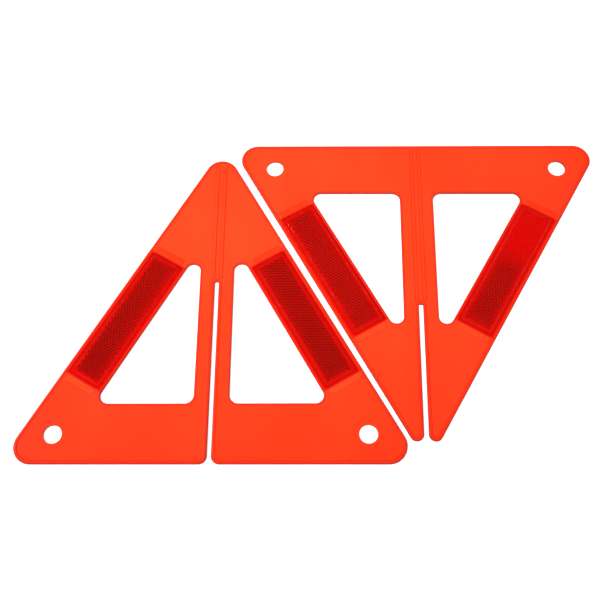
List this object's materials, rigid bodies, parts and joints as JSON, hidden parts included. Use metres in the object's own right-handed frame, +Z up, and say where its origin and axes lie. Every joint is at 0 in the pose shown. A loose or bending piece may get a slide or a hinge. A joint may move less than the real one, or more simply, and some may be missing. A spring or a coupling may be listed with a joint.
{
  "type": "warning triangle",
  "caption": "Flat-pack warning triangle: slotted orange panels that cross at a right angle, each with windows, peg holes and red prismatic reflectors on its sloping legs.",
  "frame": {"origin": "middle of the laid-out pair, on the surface it lies on", "axes": "+X along the panels' base edges, from the bottom-slot panel to the top-slot panel; +Y along the slots, from the bottom-slot panel's base edge to its point; +Z up from the surface, through the plates' thickness"},
  "size_m": [0.6294, 0.375, 0.0071],
  "materials": {
    "orange_plastic": "fluorescent orange injection-moulded plastic, satin to semi-gloss",
    "red_lens": "clear red moulded lens, polished front over cube-corner prisms"
  },
  "bodies": {
    "bottom_slot_panel": {"bottom_slot_panel": "orange_plastic", "bottom_slot_panel_left_front_lens": "red_lens", "bottom_slot_panel_left_rear_lens": "red_lens", "bottom_slot_panel_right_front_lens": "red_lens", "bottom_slot_panel_right_rear_lens": "red_lens"},
    "top_slot_panel": {"top_slot_panel": "orange_plastic", "top_slot_panel_left_front_lens": "red_lens", "top_slot_panel_left_rear_lens": "red_lens", "top_slot_panel_right_front_lens": "red_lens", "top_slot_panel_right_rear_lens": "red_lens"}
  },
  "joints": [
    {"name": "panel_lift", "type": "slide", "parent": "bottom_slot_panel", "child": "top_slot_panel", "axis": [0, 0, 1], "range_m": [0, 0.25]}
  ]
}
